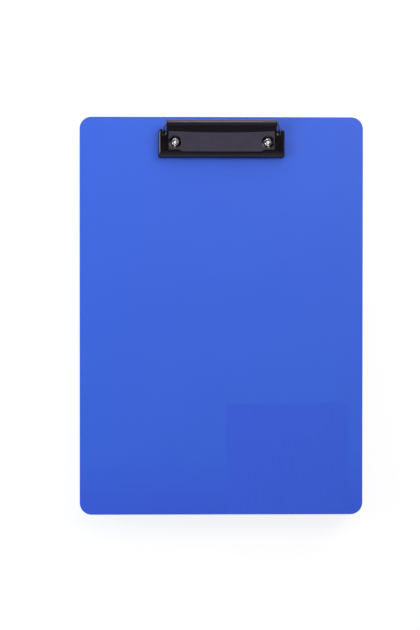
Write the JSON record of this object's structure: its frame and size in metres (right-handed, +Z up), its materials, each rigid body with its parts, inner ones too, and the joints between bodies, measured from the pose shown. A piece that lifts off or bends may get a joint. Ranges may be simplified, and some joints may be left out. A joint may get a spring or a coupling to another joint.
{
  "type": "storage clipboard box",
  "caption": "A4 clipboard whose board is the hinged cover of a shallow storage tray, with a low steel spring clip, a side latch and a pen channel.",
  "frame": {"origin": "middle of the box's footprint, on the surface it lies on", "axes": "+X across towards the latch, +Y along the board towards the clip, +Z up out of the writing face"},
  "size_m": [0.225, 0.316, 0.0374],
  "materials": {
    "blue_board": "satin moulded polypropylene with a fine grain",
    "blue_plastic": "satin moulded polypropylene",
    "black_plastic": "moulded nylon",
    "black_lacquer": "glossy black lacquer on pressed steel",
    "spring_wire": "drawn spring wire",
    "plated_steel": "nickel plated steel"
  },
  "bodies": {
    "tray": {"storage_tray": "blue_plastic", "upper_hinge_pin": "plated_steel", "lower_hinge_pin": "plated_steel"},
    "cover": {"front_cover": "blue_board", "latch_pin": "plated_steel", "clip_base_plate": "black_lacquer", "clip_pivot_rod": "plated_steel", "left_rivet": "plated_steel", "right_rivet": "plated_steel", "left_rivet_washer": "plated_steel", "right_rivet_washer": "plated_steel"},
    "jaw": {"clip_jaw": "black_lacquer", "left_spring": "spring_wire", "right_spring": "spring_wire"},
    "latch": {"latch": "black_plastic"}
  },
  "joints": [
    {"name": "cover_hinge", "type": "hinge", "parent": "tray", "child": "cover", "pos_m": [-0.1098, 0, 0.0197], "axis": [0, -1, 0], "range_deg": [0, 180]},
    {"name": "clip_pivot", "type": "hinge", "parent": "cover", "child": "jaw", "pos_m": [0, 0.1434, 0.0286], "axis": [-1, 0, 0], "range_deg": [0, 28], "stiffness_Nm_per_rad": 0.4, "springref_deg": -28.65},
    {"name": "latch_pivot", "type": "hinge", "parent": "cover", "child": "latch", "pos_m": [0.1103, 0, 0.0203], "axis": [0, -1, 0], "range_deg": [0, 80]}
  ]
}
